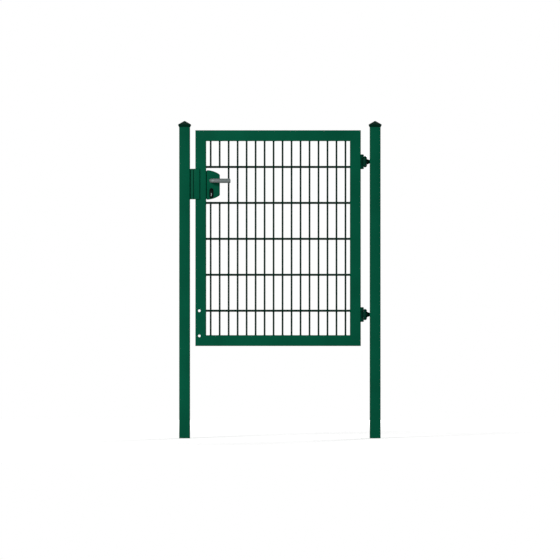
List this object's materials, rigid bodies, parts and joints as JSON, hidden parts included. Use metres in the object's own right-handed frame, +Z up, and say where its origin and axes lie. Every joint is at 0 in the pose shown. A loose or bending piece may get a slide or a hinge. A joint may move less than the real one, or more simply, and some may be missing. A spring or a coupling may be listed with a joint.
{
  "type": "mesh garden gate with tube frame and posts",
  "caption": "Single-leaf garden gate: a rectangular tube frame filled with double-rod mesh, with lever lock and barrel hinges, hung between two square posts with pyramid caps.",
  "frame": {"origin": "middle of the hinge post's foot, on the plane of both feet", "axes": "+Z up along the posts, front of the gate faces -Y, +X from the latch post towards the hinge post"},
  "size_m": [1.131, 0.159, 1.765],
  "materials": {
    "green_coat": "satin",
    "keep_casting": "satin",
    "rod_coat": "satin",
    "hinge_coat": "satin",
    "eye_coat": "satin",
    "cap_plastic": "matte",
    "bright_steel": "satin",
    "satin_nickel": "satin",
    "dark_steel": "satin",
    "black_plastic": "matte",
    "lever_aluminium": "satin"
  },
  "bodies": {
    "posts": {"hinge_post": "green_coat", "latch_post": "green_coat", "hinge_post_cap": "cap_plastic", "latch_post_cap": "cap_plastic", "keep_block": "keep_casting", "keep_strike": "green_coat", "upper_eye_bolt": "eye_coat", "lower_eye_bolt": "eye_coat"},
    "leaf": {"top_rail": "green_coat", "bottom_rail": "green_coat", "lock_stile": "green_coat", "hinge_stile": "green_coat", "rod_mesh": "rod_coat", "upper_hinge_base": "hinge_coat", "lower_hinge_base": "hinge_coat", "upper_hinge_pin": "bright_steel", "lower_hinge_pin": "bright_steel", "lock_case": "green_coat", "lock_forend": "bright_steel", "latch_bolt": "bright_steel", "dead_bolt": "bright_steel", "key_cylinder": "satin_nickel", "front_key_plug": "dark_steel", "rear_key_plug": "dark_steel", "front_key_rim": "black_plastic", "rear_key_rim": "black_plastic"},
    "lever": {"front_lever": "lever_aluminium", "rear_lever": "lever_aluminium", "lever_spindle": "bright_steel"}
  },
  "joints": [
    {"name": "leaf_swing", "type": "hinge", "parent": "posts", "child": "leaf", "pos_m": [-0.057, 0, 1.113], "axis": [0, 0, -1], "range_deg": [0, 90]},
    {"name": "lever_turn", "type": "hinge", "parent": "leaf", "child": "lever", "pos_m": [-0.911, 0, 1.432], "axis": [0, 1, 0], "range_deg": [0, 40], "stiffness_Nm_per_rad": 1.2, "springref_deg": -25.78}
  ]
}
